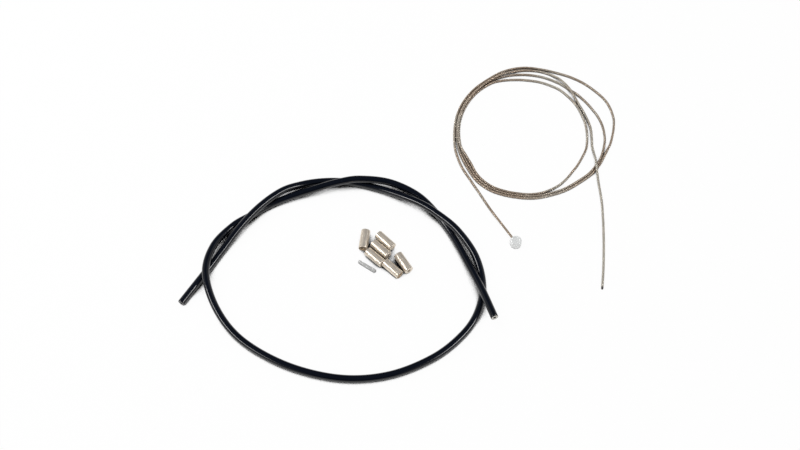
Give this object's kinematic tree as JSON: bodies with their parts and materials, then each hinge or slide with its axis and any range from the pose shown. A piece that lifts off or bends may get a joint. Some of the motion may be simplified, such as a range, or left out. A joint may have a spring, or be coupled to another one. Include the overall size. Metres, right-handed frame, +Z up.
{
  "type": "bicycle brake cable",
  "caption": "Bicycle brake cable laid out flat: looped black housing, coiled inner wire with a barrel head, housing ferrules and an end crimp.",
  "frame": {"origin": "middle of the underside of the whole laid-out cable, on the table", "axes": "+X to the picture's right, +Y away from the viewer across the table, +Z up"},
  "size_m": [0.2946, 0.2494, 0.0123],
  "materials": {
    "jacket_plastic": "glossy black extruded plastic",
    "winding_steel": "bare flat-wound steel",
    "liner_plastic": "smooth off-white liner",
    "wire_steel": "stranded steel wire",
    "head_metal": "satin cast metal",
    "ferrule_metal": "polished plating with a warm tint",
    "crimp_metal": "satin"
  },
  "bodies": {
    "root": {"housing_jacket": "jacket_plastic", "housing_winding": "winding_steel", "housing_liner": "liner_plastic", "inner_wire_head_end": "wire_steel", "inner_wire_coil": "wire_steel", "inner_wire_tail": "wire_steel", "barrel_head": "head_metal", "ferrule_1": "ferrule_metal", "ferrule_2": "ferrule_metal", "ferrule_3": "ferrule_metal", "ferrule_4": "ferrule_metal", "ferrule_5": "ferrule_metal", "ferrule_6": "ferrule_metal", "end_crimp": "crimp_metal"}
  },
  "joints": []
}
